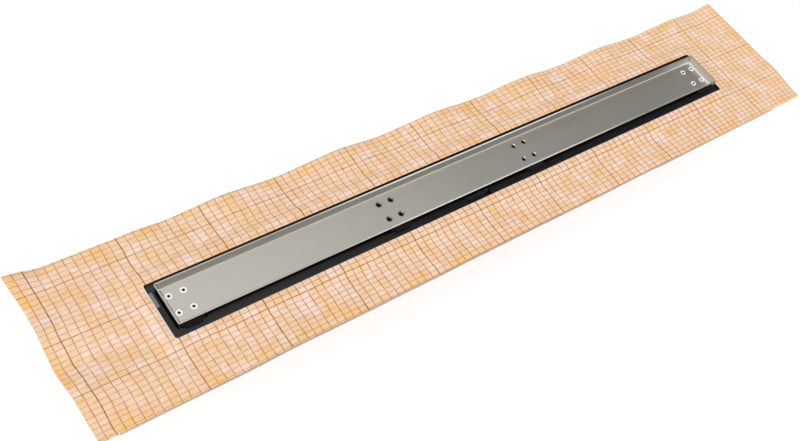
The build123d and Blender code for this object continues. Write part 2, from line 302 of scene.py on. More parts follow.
@dataclass(frozen=True)
class PrintedFleece:
    """Pale orange fleece with a ruled print, every tenth line of it bold."""

    uv_map: str
    far_edge: float
    left_edge: float
    opening_half: tuple[float, float]
    ground: Colour = srgb(245, 207, 170)
    pale: Colour = srgb(252, 225, 209)
    pale_run: tuple[float, float] = (0.46, 0.62)
    deep: Colour = srgb(249, 197, 118)
    deep_run: tuple[float, float] = (0.48, 0.32)
    patch: Cloud = Cloud(38.0, 4.0, 0.72)
    patch_share: float = 0.62
    streak: Cloud = Cloud(1.0, 3.0, 0.65)
    streak_scale: tuple[float, float, float] = (150.0, 520.0, 1.0)
    streak_share: float = 0.31
    cell_share: float = 0.07
    edge_deep: float = 0.06
    edge_reach: float = 20.0 * MM
    fibre: Cloud = Cloud(1500.0, 3.0, 0.7)
    fibre_depth: float = 0.12 * MM
    fibre_strength: float = 0.5
    roughness: float = 0.95
    specular: float = 0.1
    border: Colour = srgb(226, 218, 206)
    border_width: float = 1.3 * MM
    border_blur: float = 0.3 * MM
    border_right: float = 9.0 * MM
    ink: Colour = srgb(173, 97, 0)
    bold_ink: Colour = srgb(128, 58, 8)
    bold_every: int = 10
    across_pitch: float = 10.38 * MM
    across_bold_inset: float = 22.0 * MM
    along_pitch: float = 6.4 * MM
    along_bold_inset: float = 26.4 * MM
    line_half: float = 0.46 * MM
    bold_half: float = 0.62 * MM
    line_blur: float = 0.5 * MM
    across_weight: float = 0.92
    along_weight: float = 0.58
    across_bold: float = 0.72
    along_bold: float = 0.42
    drift: Cloud = Cloud(25.0)
    drift_scale: tuple[float, float, float] = (0.45, 1.0, 1.0)
    across_wander: float = 5.0 * MM
    sway: Cloud = Cloud(22.0, 4.0, 0.68)
    sway_shift: tuple[float, float, float] = (3.0, 5.0, 0.0)
    along_wander: float = 3.0 * MM
    close_start: float = 440.0 * MM
    close_share: float = 0.1
    wear: Cloud = Cloud(160.0, 3.0)
    wear_run: tuple[float, float] = (0.25, 0.7)
    wear_least: float = 0.55
    press_start: tuple[float, float] = (-460.0 * MM, -300.0 * MM)
    press_end: tuple[float, float] = (540.0 * MM, 440.0 * MM)
    press_far: float = 0.07
    press_near: float = 0.14

    def cut_border(self, graph: ShaderGraph, along: Socket, across: Socket) -> Socket:
        """Mask of the bare strip at the opening's left end and near right corner, 1 on it.

        Args:
            graph: The material's nodes.
            along: Place along the flat sheet.
            across: Place across the flat sheet.

        Returns:
            The mask.
        """
        width, blur = self.border_width, self.border_blur
        half_length, half_width = self.opening_half
        distance = graph.math("SUBTRACT", graph.math("ABSOLUTE", along), half_length)
        beside = graph.math("LESS_THAN", graph.math("ABSOLUTE", across), half_width + width)
        near_corner = graph.math("LESS_THAN", across, self.border_right - half_width)
        limits = (
            graph.math("GREATER_THAN", distance, -blur),
            graph.math("MAXIMUM", graph.math("LESS_THAN", along, 0.0), near_corner),
            beside,
        )
        strip = graph.ease(distance, width + blur, width - blur)
        for limit in limits:
            strip = graph.math("MULTIPLY", strip, limit)
        return strip

    def outer_edge(self, graph: ShaderGraph, along: Socket, across: Socket) -> Socket:
        """Mask of the sheet's outer edges: 1 on them, falling to 0 inwards.

        Args:
            graph: The material's nodes.
            along: Place along the flat sheet.
            across: Place across the flat sheet.

        Returns:
            The mask.
        """
        from_end = graph.math("SUBTRACT", -self.left_edge, graph.math("ABSOLUTE", along))
        from_side = graph.math("SUBTRACT", self.far_edge, graph.math("ABSOLUTE", across))
        return graph.ease(graph.math("MINIMUM", from_end, from_side), self.edge_reach, 0.0)

    def print_runs(
        self, graph: ShaderGraph, along: Socket, across: Socket
    ) -> tuple[Socket, Socket]:
        """Distances along and across that rule the print, from a bold line and a little bent.

        Args:
            graph: The material's nodes.
            along: Place along the flat sheet.
            across: Place across the flat sheet.

        Returns:
            The two distances.
        """
        drift = graph.cloud(graph.place(self.drift_scale, self.uv_map), self.drift)
        sway = graph.cloud(graph.place(uv_map=self.uv_map, shift=self.sway_shift), self.sway)
        past = graph.math("MAXIMUM", graph.math("SUBTRACT", along, self.close_start), 0.0)
        along = graph.math("MULTIPLY_ADD", past, self.close_share, along)
        along = graph.math("MULTIPLY_ADD", drift, self.across_wander, along)
        across = graph.math("MULTIPLY_ADD", sway, self.along_wander, across)
        along = graph.math("SUBTRACT", along, self.left_edge + self.across_bold_inset)
        across = graph.math("SUBTRACT", across, self.far_edge - self.along_bold_inset)
        return along, across

    def ruling(self, graph: ShaderGraph, run: Socket, pitch: float, half: float) -> Socket:
        """Mask of lines at a pitch: 1 on a line and 0 between lines."""
        distance = graph.math("PINGPONG", run, pitch / 2)
        return graph.ease(distance, half + self.line_blur, max(half - self.line_blur, 0.0))

    def line_masks(
        self, graph: ShaderGraph, along: Socket, across: Socket
    ) -> tuple[Socket, Socket]:
        """Masks of the fine lines and of the bold ones, by their weights.

        Args:
            graph: The material's nodes.
            along: Distance that rules the lines across.
            across: The same for lines along.

        Returns:
            The two masks.
        """
        fine = bold = 0.0
        rulings = (
            (along, self.across_pitch, self.across_weight, self.across_bold),
            (across, self.along_pitch, self.along_weight, self.along_bold),
        )
        for run, pitch, weight, bold_weight in rulings:
            thin = self.ruling(graph, run, pitch, self.line_half)
            thick = self.ruling(graph, run, self.bold_every * pitch, self.bold_half)
            fine = graph.math("MAXIMUM", fine, graph.math("MULTIPLY", thin, weight))
            bold = graph.math("MAXIMUM", bold, graph.math("MULTIPLY", thick, bold_weight))
        return fine, bold

    def inking(self, graph: ShaderGraph, flat: Socket, along: Socket, across: Socket) -> Socket:
        """Strength of the ink: faded in spots, stronger along the middle of the drain and more so
        on its near side.

        Args:
            graph: The material's nodes.
            flat: Coordinates on the flat sheet.
            along: Place along the flat sheet.
            across: Place across the flat sheet.

        Returns:
            The strength, about 1 where nothing is worn.
        """
        half_width = self.opening_half[1]
        # Darker ink along the middle of the drain, and darker still on its near side.
        start, end = graph.ease(along, *self.press_start), graph.ease(along, *self.press_end)
        inward = graph.math("MULTIPLY", start, end)
        near = graph.math("MULTIPLY", inward, graph.ease(across, half_width, -half_width))
        ink_gain = graph.math("MULTIPLY_ADD", near, self.press_near, 1.0)
        ink_gain = graph.math("MULTIPLY_ADD", inward, self.press_far, ink_gain)
        worn = graph.ease(graph.cloud(flat, self.wear), *self.wear_run, self.wear_least)
        return graph.math("MULTIPLY", worn, ink_gain)

    def cloth(self, graph: ShaderGraph, flat: Socket, cell: Socket, edge: Socket) -> Socket:
        """Colour of the bare fleece.

        Args:
            graph: The material's nodes.
            flat: Coordinates on the flat sheet.
            cell: The printed cell's two numbers, as a vector.
            edge: Mask of the sheet's outer edges.

        Returns:
            The colour.
        """
        tint = graph.add("ShaderNodeTexWhiteNoise", {"noise_dimensions": "2D"}, vector=cell)
        streak = graph.cloud(graph.place(self.streak_scale, self.uv_map), self.streak)
        parts = (
            (graph.cloud(flat, self.patch), self.patch_share),
            (streak, self.streak_share),
            (edge, -self.edge_deep),
        )
        tone = graph.math("MULTIPLY", tint, self.cell_share)
        for part, share in parts:
            tone = graph.math("MULTIPLY_ADD", part, share, tone)
        colour = graph.mix(graph.ease(tone, *self.pale_run), self.ground, self.pale)
        return graph.mix(graph.ease(tone, *self.deep_run), colour, self.deep)

    def material(self) -> bpy.types.Material:
        """Builds the material on the flat sheet's own coordinates.

        Returns:
            The material.
        """
        graph = ShaderGraph("printed_fleece")
        flat = graph.place(uv_map=self.uv_map)
        along, across, _ = graph.split(flat)
        runs = self.print_runs(graph, along, across)
        column, row = (
            graph.math("FLOOR", graph.math("DIVIDE", run, pitch))
            for run, pitch in zip(runs, (self.across_pitch, self.along_pitch))
        )
        cell = graph.add("ShaderNodeCombineXYZ", x=column, y=row)
        colour = self.cloth(graph, flat, cell, self.outer_edge(graph, along, across))
        strength = self.inking(graph, flat, along, across)
        for mask, ink in zip(self.line_masks(graph, *runs), (self.ink, self.bold_ink)):
            colour = graph.mix(graph.math("MULTIPLY", mask, strength), colour, ink)
        colour = graph.mix(self.cut_border(graph, along, across), colour, self.border)
        normal = graph.bump(graph.cloud(flat, self.fibre), self.fibre_depth, self.fibre_strength)
        return graph.surface(
            base_color=colour,
            roughness=self.roughness,
            specular_ior_level=self.specular,
            normal=normal,
        )


@dataclass(frozen=True)
class CutEdge:
    """Core that shows where the sheet was cut: pale round the opening, and dark at its outside,
    where the core's own colour is darkened into a painted shadow line along the outer edges.
    """

    inside: float
    pale: Colour = srgb(236, 228, 214)
    grey: Colour = srgb(92, 97, 106)
    fibre: Cloud = Cloud(900.0, 3.0, 0.7)
    fibre_depth: float = 0.1 * MM
    fibre_strength: float = 0.4
    roughness: float = 0.9

    def material(self) -> bpy.types.Material:
        """Builds the material.

        Returns:
            The material.
        """
        graph = ShaderGraph("cut_edge")
        place = graph.place()
        across = graph.math("ABSOLUTE", graph.split(place)[1])
        # Painted shadow: the outer cut edges are dark, partly as a core colour and partly as a
        # shadow line along the sheet's edges.
        colour = graph.mix(graph.math("GREATER_THAN", across, self.inside), self.pale, self.grey)
        normal = graph.bump(graph.cloud(place, self.fibre), self.fibre_depth, self.fibre_strength)
        return graph.surface(base_color=colour, roughness=self.roughness, normal=normal)


@dataclass(frozen=True)
class BrushedSteel:
    """Stainless sheet, brushed along the drain, with a painted highlight along its bends and mid
    rim.
    """

    floor_z: float
    rim_z: float
    light: Colour = srgb(202, 199, 190)
    dark: Colour = srgb(199, 196, 187)
    worn: Colour = srgb(244, 243, 238)
    worn_metal: float = 0.4
    bend_height: float = 1.0 * MM
    bend_start: float = 0.1 * MM
    bend_end: float = 2.0 * MM
    rim_height: float = 0.9 * MM
    rim_start: tuple[float, float] = (-0.28, -0.1)
    rim_end: tuple[float, float] = (0.32, 0.14)
    streak: Cloud = Cloud(1.0, 4.0, 0.65)
    streak_scale: tuple[float, float, float] = (5.0, 650.0, 650.0)
    streak_run: tuple[float, float] = (0.3, 0.7)
    scratch: Cloud = Cloud(1.0)
    scratch_scale: tuple[float, float, float] = (30.0, 4200.0, 4200.0)
    scratch_depth: float = 0.01 * MM
    scratch_strength: float = 0.15
    scratch_gloss: float = 0.06
    smear: Cloud = Cloud(1.0, 3.0)
    smear_scale: tuple[float, float, float] = (8.0, 16.0, 16.0)
    smear_gloss: float = 0.08
    shine: float = 0.38

    def rim(self, graph: ShaderGraph) -> Socket:
        """Mask of the painted highlight on the tray's top edge: 1 along the middle of the drain and
        0 elsewhere.

        Args:
            graph: The material's nodes.

        Returns:
            The mask.
        """
        along, _, height = graph.split(graph.place())
        start, end = graph.ease(along, *self.rim_start), graph.ease(along, *self.rim_end)
        low = self.rim_z - self.rim_height
        top = graph.ease(height, low, low + self.rim_height / 2)
        return graph.math("MULTIPLY", top, graph.math("MULTIPLY", start, end))

    def bend(self, graph: ShaderGraph) -> Socket:
        """Mask of the painted highlight on the tray's bends: 1 there and 0 elsewhere.

        Args:
            graph: The material's nodes.

        Returns:
            The mask.
        """
        above = graph.math("SUBTRACT", graph.split(graph.place())[2], self.floor_z)
        start = graph.ease(above, self.bend_start, self.bend_height)
        return graph.math("MULTIPLY", start, graph.ease(above, self.bend_end, self.bend_height))

    def material(self) -> bpy.types.Material:
        """Builds the material.

        Returns:
            The material.
        """
        graph = ShaderGraph("brushed_steel")
        streak = graph.cloud(graph.place(self.streak_scale), self.streak)
        scratch = graph.cloud(graph.place(self.scratch_scale), self.scratch)
        smear = graph.cloud(graph.place(self.smear_scale), self.smear)
        colour = graph.mix(graph.ease(streak, *self.streak_run), self.dark, self.light)
        # Painted highlight: the bends and the middle of the top edge are mixed towards near white
        # and made less metallic, so they look lit.
        bright = graph.math("MAXIMUM", self.bend(graph), self.rim(graph))
        colour = graph.mix(bright, colour, self.worn)
        metal = graph.math("MULTIPLY_ADD", bright, self.worn_metal - 1.0, 1.0)
        gloss = graph.math("MULTIPLY_ADD", scratch, self.scratch_gloss, self.shine)
        gloss = graph.math("MULTIPLY_ADD", smear, self.smear_gloss, gloss)
        normal = graph.bump(scratch, self.scratch_depth, self.scratch_strength)
        return graph.surface(base_color=colour, metallic=metal, roughness=gloss, normal=normal)


@dataclass(frozen=True)
class BareMetal:
    """Turned or plated metal of a fastener, with a fine grain and a patchy gloss."""

    name: str
    light: Colour
    dark: Colour
    shine: float
    metallic: float = 1.0
    shade: Colour = srgb(10, 10, 11)
    shade_top: float | None = None
    shade_depth: float = 0.3 * MM
    stain: Colour = srgb(96, 94, 90)
    stain_run: tuple[float, float] | None = None
    patch: Cloud = Cloud(420.0, 3.0, 0.6)
    patch_run: tuple[float, float] = (0.3, 0.7)
    patch_gloss: float = 0.16
    grain: Cloud = Cloud(5200.0)
    grain_depth: float = 0.01 * MM
    grain_strength: float = 0.4

    def material(self) -> bpy.types.Material:
        """Builds the material, with painted shade along the drain and painted shade in its hollows,
        where they are given.

        Returns:
            The material.
        """
        graph = ShaderGraph(self.name)
        place = graph.place()
        along, _, height = graph.split(place)
        patch = graph.cloud(place, self.patch)
        colour = graph.mix(graph.ease(patch, *self.patch_run), self.dark, self.light)
        # Painted shade: darkens the metal from the middle of the drain to the left, dimming the
        # reflections of the screws there.
        if self.stain_run:
            colour = graph.mix(graph.ease(along, *self.stain_run), colour, self.stain)
        # Painted shade: blackens the socket walls just below the top, where shade falls.
        if self.shade_top:
            hollow = graph.ease(height, self.shade_top, self.shade_top - self.shade_depth)
            colour = graph.mix(hollow, colour, self.shade)
        gloss = graph.math("MULTIPLY_ADD", patch, self.patch_gloss, self.shine)
        normal = graph.bump(graph.cloud(place, self.grain), self.grain_depth, self.grain_strength)
        return graph.surface(
            base_color=colour, metallic=self.metallic, roughness=gloss, normal=normal
        )


@dataclass(frozen=True)
class Moulding:
    """Moulded plastic or rubber with a fine eroded grain and slow flow marks."""

    name: str
    colour: Colour
    worn: Colour
    shine: float
    specular: float = 0.5
    dust: Colour = srgb(46, 46, 45)
    dust_run: tuple[float, float] | None = None
    flow: Cloud = Cloud(38.0, 3.0, 0.6)
    flow_run: tuple[float, float] = (0.35, 0.75)
    flow_gloss: float = 0.16
    grain: Cloud = Cloud(1900.0)
    grain_depth: float = 0.04 * MM
    grain_strength: float = 0.45

    def material(self) -> bpy.types.Material:
        """Builds the material, turning lighter along the drain where a run is given: painted light.

        Returns:
            The material.
        """
        graph = ShaderGraph(self.name)
        place = graph.place()
        flow = graph.cloud(place, self.flow)
        colour = graph.mix(graph.ease(flow, *self.flow_run), self.colour, self.worn)
        # Painted light: the moulding turns lighter towards one end of the drain, as if more light
        # falls there.
        if self.dust_run:
            along = graph.split(place)[0]
            colour = graph.mix(graph.ease(along, *self.dust_run), colour, self.dust)
        gloss = graph.math("MULTIPLY_ADD", flow, self.flow_gloss, self.shine)
        normal = graph.bump(graph.cloud(place, self.grain), self.grain_depth, self.grain_strength)
        return graph.surface(
            base_color=colour, roughness=gloss, specular_ior_level=self.specular, normal=normal
        )


@dataclass(frozen=True)
class Silicone:
    """Milky silicone that lets some light through."""

    milky: Colour = srgb(226, 222, 212)
    clear: Colour = srgb(205, 200, 188)
    haze: Cloud = Cloud(90.0)
    roughness: float = 0.38
    passing: float = 0.25
    glowing: float = 0.2

    def material(self) -> bpy.types.Material:
        """Builds the material.

        Returns:
            The material.
        """
        graph = ShaderGraph("silicone")
        colour = graph.mix(graph.cloud(graph.place(), self.haze), self.milky, self.clear)
        return graph.surface(
            base_color=colour,
            roughness=self.roughness,
            transmission_weight=self.passing,
            subsurface_weight=self.glowing,
        )


@dataclass(frozen=True)
class Swell:
    """One soft rise or dip of the membrane: its middle, its reach each way and its height."""

    x: float
    y: float
    along: float
    across: float
    height: float

    def lift(self, x: np.ndarray, y: np.ndarray) -> np.ndarray:
        """Height that the swell adds at each point."""
        away = ((x - self.x) / self.along) ** 2 + ((y - self.y) / self.across) ** 2
        return self.height * np.exp(-away)


@dataclass(frozen=True)
class Curl:
    """Corner of the membrane that curls up and is pulled along: its sides, lift, pull and reach."""

    side_x: int
    side_y: int
    lift: float
    pull: float
    reach: float

    def share(
        self, x: np.ndarray, y: np.ndarray, half_length: float, half_width: float
    ) -> np.ndarray:
        """1 at the corner of the flat sheet, falling to 0 round it."""
        away = np.hypot(x - self.side_x * half_length, y - self.side_y * half_width)
        return 1.0 - smooth_step(away / self.reach)


@dataclass
class SealingMembrane:
    """Fleece sheet on the channel's flange, raised on its rim and slightly waved beyond it."""

    node: str = "sealing_membrane"
    uv_map: str = "flat_cloth"
    thickness: float = 0.8 * MM
    opening_length: float = 900.0 * MM
    opening_width: float = 71.0 * MM
    corner_radius: float = 3.0 * MM
    corner_steps: int = 5
    rim_height: float = 3.5 * MM
    rim_width: float = 9.0 * MM
    rim_fall: float = 15.0 * MM
    flange_border: float = 30.0 * MM
    step_along: float = 3.6 * MM
    step_across: float = 2.6 * MM
    tolerance: float = 0.01 * MM
    far_flat: float = 18.0 * MM
    far_rise: float = -0.5 * MM
    far_wave: float = 3.0 * MM
    far_wave_length: float = 157.0 * MM
    far_wave_crest: float = 4.0 * MM
    far_wave_start: float = -460.0 * MM
    far_wave_growth: float = 100.0 * MM
    crumple: float = 1.0 * MM
    crumple_scale: float = 26.0
    crumple_level: float = 0.4
    loose_reach: float = 22.0 * MM
    near_cut: tuple[float, float] = (2.2 * MM, 6.5 * MM)
    far_cut: tuple[float, float] = (0.0, 3.0 * MM)
    near_opening: tuple[float, float] = (2.0 * MM, 2.0 * MM)
    far_opening: tuple[float, float] = (0.3 * MM, 1.9 * MM)
    end_bow: float = 3.0 * MM
    end_reach: float = 120.0 * MM
    left_bow: tuple[float, float] = (-8.0 * MM, 60.0 * MM)
    right_bow: tuple[float, float] = (-15.0 * MM, 70.0 * MM)
    edge_waver: float = 0.5 * MM
    waver_reach: float = 30.0 * MM
    waver_scale: float = 11.0
    waver_side: float = 3.0
    waver_level: float = 0.7
    curls: tuple[Curl, ...] = (
        Curl(-1, 1, 11.0 * MM, 5.5 * MM, 44.0 * MM),
        Curl(1, 1, 10.0 * MM, -6.0 * MM, 64.0 * MM),
    )
    swells: tuple[Swell, ...] = (
        Swell(-0.560, 0.028, 0.055, 0.022, 4.0 * MM),
        Swell(-0.565, -0.012, 0.060, 0.020, -4.5 * MM),
        Swell(-0.560, -0.052, 0.055, 0.020, 2.6 * MM),
        Swell(0.562, -0.045, 0.045, 0.030, 2.8 * MM),
        Swell(0.560, 0.040, 0.050, 0.030, 2.0 * MM),
        Swell(-0.330, -0.100, 0.050, 0.018, 1.4 * MM),
        Swell(-0.050, -0.100, 0.070, 0.016, 1.1 * MM),
        Swell(0.240, -0.100, 0.060, 0.018, 1.5 * MM),
        Swell(-0.500, 0.045, 0.030, 0.025, 1.6 * MM),
        Swell(-0.495, -0.060, 0.030, 0.022, 1.5 * MM),
    )

    def __post_init__(self) -> None:
        """Takes the sheet's outline and seat from its solid."""
        low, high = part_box(self.node)
        self.half_length, self.half_width = high.x, high.y
        self.half_open = (self.opening_length / 2, self.opening_width / 2)
        self.seat = low.z

    def lines(self, half: float, half_opening: float, step: float) -> np.ndarray:
        """Grid lines one way, with lines on the opening's edges and where its corners start.

        Args:
            half: Half the sheet's size this way.
            half_opening: Half the opening's size this way.
            step: Largest distance between lines.

        Returns:
            Places of the lines, in order.
        """
        inner_half = half_opening - self.corner_radius
        outer = np.linspace(half_opening, half, int((half - half_opening) / step) + 2)
        inner = np.linspace(-inner_half, inner_half, int(2 * inner_half / step) + 2)
        return np.concatenate([-outer[::-1], inner, outer])

    def rise(self, x: np.ndarray, y: np.ndarray) -> np.ndarray:
        """Height of the sheet's underside above the flange, at points of the flat sheet.

        Args:
            x: Places along the flat sheet.
            y: Places across the flat sheet.

        Returns:
            The heights.
        """
        beyond_x = np.maximum(np.abs(x) - self.half_open[0], 0.0)
        beyond_y = np.maximum(np.abs(y) - self.half_open[1], 0.0)
        beyond = np.hypot(beyond_x, beyond_y)
        rim = self.rim_height * (1.0 - smooth_step((beyond - self.rim_width) / self.rim_fall))

        flat_end = self.half_open[1] + self.far_flat
        far_share = smooth_step((y - flat_end) / (self.half_width - flat_end))
        turn = 2 * pi * (x - self.far_wave_crest) / self.far_wave_length
        grown = smooth_step((x - self.far_wave_start) / self.far_wave_growth)
        far = (self.far_rise + self.far_wave * np.cos(turn) * grown) * far_share
        halves = self.half_length, self.half_width
        curl = sum(corner.lift * corner.share(x, y, *halves) for corner in self.curls)

        soft = sum(swell.lift(x, y) for swell in self.swells)
        crumple = soft_noise(x * self.crumple_scale, y * self.crumple_scale, self.crumple_level)
        loose = smooth_step((beyond - self.rim_width) / self.loose_reach)
        height = rim + far + curl + (soft + self.crumple * crumple) * loose
        on_flange = (beyond_x < self.flange_border) & (beyond_y < self.flange_border)
        return np.where(on_flange, np.maximum(height, 0.0), height)

    def spread(self, x: np.ndarray, y: np.ndarray) -> tuple[np.ndarray, np.ndarray]:
        """Plan of the sheet as it lies, with bowed ends, pulled corners and wavering sides.

        Args:
            x: Places along the flat sheet.
            y: Places across the flat sheet.

        Returns:
            The new places along and across.
        """
        end_share = smooth_step(1.0 - (self.half_length - np.abs(x)) / self.end_reach)
        plan_x = x
        for side, (middle, reach) in ((-1, self.left_bow), (1, self.right_bow)):
            bow = np.exp(-(((y - middle) / reach) ** 2)) * (side * x > 0)
            plan_x = plan_x + side * self.end_bow * end_share * bow
        for corner in self.curls:
            share = corner.share(x, y, self.half_length, self.half_width)
            plan_x = plan_x + corner.side_x * corner.pull * share
        side_share = smooth_step(1.0 - (self.half_width - np.abs(y)) / self.waver_reach)
        waver = soft_noise(x * self.waver_scale, np.sign(y) * self.waver_side, self.waver_level)
        return plan_x, y + self.edge_waver * side_share * waver

    def flat_grid(self) -> tuple[np.ndarray, list[tuple[int, ...]]]:
        """Flat sheet with the opening cut out and its corners rounded.

        Returns:
            Points as an array of (x, y), and faces that wind upwards.
        """
        half_x, half_y = self.half_open
        xs = self.lines(self.half_length, half_x, self.step_along)
        ys = self.lines(self.half_width, half_y, self.step_across)
        index: dict[tuple[int, int], int] = {}
        points: list[tuple[float, float]] = []
        for i, x in enumerate(xs):
            for j, y in enumerate(ys):
                if abs(x) > half_x - self.tolerance or abs(y) > half_y - self.tolerance:
                    index[i, j] = len(points)
                    points.append((x, y))
        faces: list[tuple[int, ...]] = []
        for i in range(len(xs) - 1):
            for j in range(len(ys) - 1):
                middle_x, middle_y = (xs[i] + xs[i + 1]) / 2, (ys[j] + ys[j + 1]) / 2
                if abs(middle_x) > half_x or abs(middle_y) > half_y:
                    corners = ((i, j), (i + 1, j), (i + 1, j + 1), (i, j + 1))
                    faces.append(tuple(index[corner] for corner in corners))
        for side_x in (-1, 1):
            for side_y in (-1, 1):
                faces += self.corner_fan(points, side_x, side_y)
        flat = np.array(points)
        flat[:, 1] -= self.trimmed(*flat.T)
        return flat, faces

    def trimmed(self, x: np.ndarray, y: np.ndarray) -> np.ndarray:
        """How far each point moves towards -Y, as the edges were cut a little out of square.

        Args:
            x: Places along the flat sheet.
            y: Places across the flat sheet.

        Returns:
            The distances.
        """
        along = (x + self.half_length) / (2 * self.half_length)
        cuts = (self.near_cut, self.far_cut, self.near_opening, self.far_opening)
        near, far, near_open, far_open = (first + (last - first) * along for first, last in cuts)
        half_open = self.half_open[1]
        share = np.maximum(np.abs(y) - half_open, 0.0) / (self.half_width - half_open)
        beside = smooth_step(2 * np.abs(y) / self.opening_width) * (1.0 - share)
        return np.where(y < 0, near_open * beside - near * share, far * share - far_open * beside)

    def corner_fan(
        self, points: list[tuple[float, float]], side_x: int, side_y: int
    ) -> list[tuple[int, ...]]:
        """Triangles between a square corner of the opening and its rounding.

        Args:
            points: The sheet's points, to which those of the rounding are added.
            side_x: Sign of the corner's x.
            side_y: Sign of the corner's y.

        Returns:
            The triangles.
        """
        radius = self.corner_radius
        corner_x, corner_y = side_x * self.half_open[0], side_y * self.half_open[1]
        centre_x, centre_y = corner_x - side_x * radius, corner_y - side_y * radius

        def nearest(x: float, y: float) -> int:
            """Index of the point that lies there."""
            gaps = [abs(point[0] - x) + abs(point[1] - y) for point in points]
            return gaps.index(min(gaps))

        hub, end = nearest(corner_x, corner_y), nearest(centre_x, corner_y)
        ring = [nearest(corner_x, centre_y)]
        for step in range(1, self.corner_steps):
            turn = pi / 2 * step / self.corner_steps
            over_x, over_y = side_x * radius * cos(turn), side_y * radius * sin(turn)
            points.append((centre_x + over_x, centre_y + over_y))
            ring.append(len(points) - 1)
        ring.append(end)
        upward = side_x * side_y > 0
        return [(hub, b, a) if upward else (hub, a, b) for a, b in zip(ring, ring[1:])]

    def build(self) -> list[Piece]:
        """Returns:
            The sheet, alone in a list.
        """
        flat, faces = self.flat_grid()
        x, y = flat.T
        plan_x, plan_y = self.spread(x, y)
        mesh = bpy.data.meshes.new(self.node)
        mesh.from_pydata(np.column_stack([plan_x, plan_y, self.seat + self.rise(x, y)]), [], faces)
        corner_points = np.empty(len(mesh.loops), int)
        mesh.loops.foreach_get("vertex_index", corner_points)
        layer = mesh.uv_layers.new(name=self.uv_map)
        layer.uv.foreach_set("vector", flat[corner_points].astype(np.float32).ravel())
        fleece = PrintedFleece(
            self.uv_map,
            far_edge=self.half_width,
            left_edge=-self.half_length,
            opening_half=self.half_open,
        )
        mesh.materials.append(fleece.material())
        mesh.materials.append(CutEdge(self.half_open[1] + self.flange_border).material())
        piece = place_piece("membrane_sheet", mesh)
        wall = piece.modifiers.new("thickness", "SOLIDIFY")
        wall.thickness = self.thickness
        wall.offset = 1.0
        wall.material_offset_rim = 1
        settle(piece)
        declare(piece, self.node)
        return [piece]


@dataclass(frozen=True)
class Ring:
    """One ring of a turned shape: its radius, its height, and its sides, with 0 for a round one."""

    radius: float
    height: float
    sides: int = 0

    def points(self) -> list[Vector]:
        """Points round the ring; a ring with sides has its radius at the corners.

        Returns:
            The points, in order.
        """
        found = []
        for step in range(RING_POINTS):
            turn = 2 * pi * step / RING_POINTS
            radius = self.radius
            if self.sides:
                half = pi / self.sides
                radius *= cos(half) / cos((turn % (2 * half)) - half)
            found.append(Vector((radius * cos(turn), radius * sin(turn), self.height)))
        return found


def turned_mesh(name: str, rings: list[Ring], closed: bool = False) -> bpy.types.Mesh:
    """Solid skinned over rings, from the first to the last.

    Args:
        name: Name of the mesh.
        rings: Rings in order along the solid's section.
        closed: Joins the last ring to the first, as on a nut, in place of two end caps.

    Returns:
        The mesh, with its faces outwards.
    """
    shape = bmesh.new()
    loops = [[shape.verts.new(point) for point in ring.points()] for ring in rings]
    pairs = list(zip(loops, loops[1:]))
    if closed:
        pairs.append((loops[-1], loops[0]))
    else:
        shape.faces.new(loops[0])
        shape.faces.new(loops[-1])
    for first, second in pairs:
        for k, after in enumerate([*range(1, RING_POINTS), 0]):
            shape.faces.new((first[k], first[after], second[after], second[k]))
    bmesh.ops.recalc_face_normals(shape, faces=shape.faces)
    mesh = bpy.data.meshes.new(name)
    shape.to_mesh(mesh)
    shape.free()
    return mesh


class ShapeGraph(NodeGraph):
    """A Geometry Nodes tree made in code, with named inputs."""

    def __init__(self, name: str, inputs: dict[str, str]) -> None:
        """Starts a tree.

        Args:
            name: Name of the tree.
            inputs: Name and socket type of each input after the geometry.
        """
        super().__init__(bpy.data.node_groups.new(name, "GeometryNodeTree"))
        interface = self.tree.interface
        interface.new_socket("Geometry", in_out="INPUT", socket_type="NodeSocketGeometry")
        interface.new_socket("Geometry", in_out="OUTPUT", socket_type="NodeSocketGeometry")
        for label, kind in inputs.items():
            interface.new_socket(label, in_out="INPUT", socket_type=kind)
        self.given = self.nodes.new("NodeGroupInput").outputs
        self.result = self.nodes.new("NodeGroupOutput").inputs[0]

    def vector(self, x: Socket | float = 0.0, z: Socket | float = 0.0) -> Socket:
        """A vector along the drain and up."""
        return self.add("ShaderNodeCombineXYZ", x=x, z=z)

    def finish(self, geometry: Socket, finish: Socket) -> None:
        """Ends the tree with real meshes that carry the finish.

        Args:
            geometry: What was made.
            finish: Its material.
        """
        real = self.add("GeometryNodeRealizeInstances", geometry=geometry)
        dressed = self.add("GeometryNodeSetMaterial", geometry=real, material=finish)
        self.feed(self.result, dressed)

    def apply(self, piece: Piece, values: dict[str, float | int | bpy.types.Material]) -> None:
        """Puts the tree on a piece and sets its inputs.

        Args:
            piece: The object that gets the modifier.
            values: What goes into each named input.
        """
        modifier = piece.modifiers.new(self.tree.name, "NODES")
        modifier.node_group = self.tree
        for item in self.tree.interface.items_tree:
            if item.in_out == "INPUT" and item.name in values:
                modifier[item.identifier] = values[item.name]


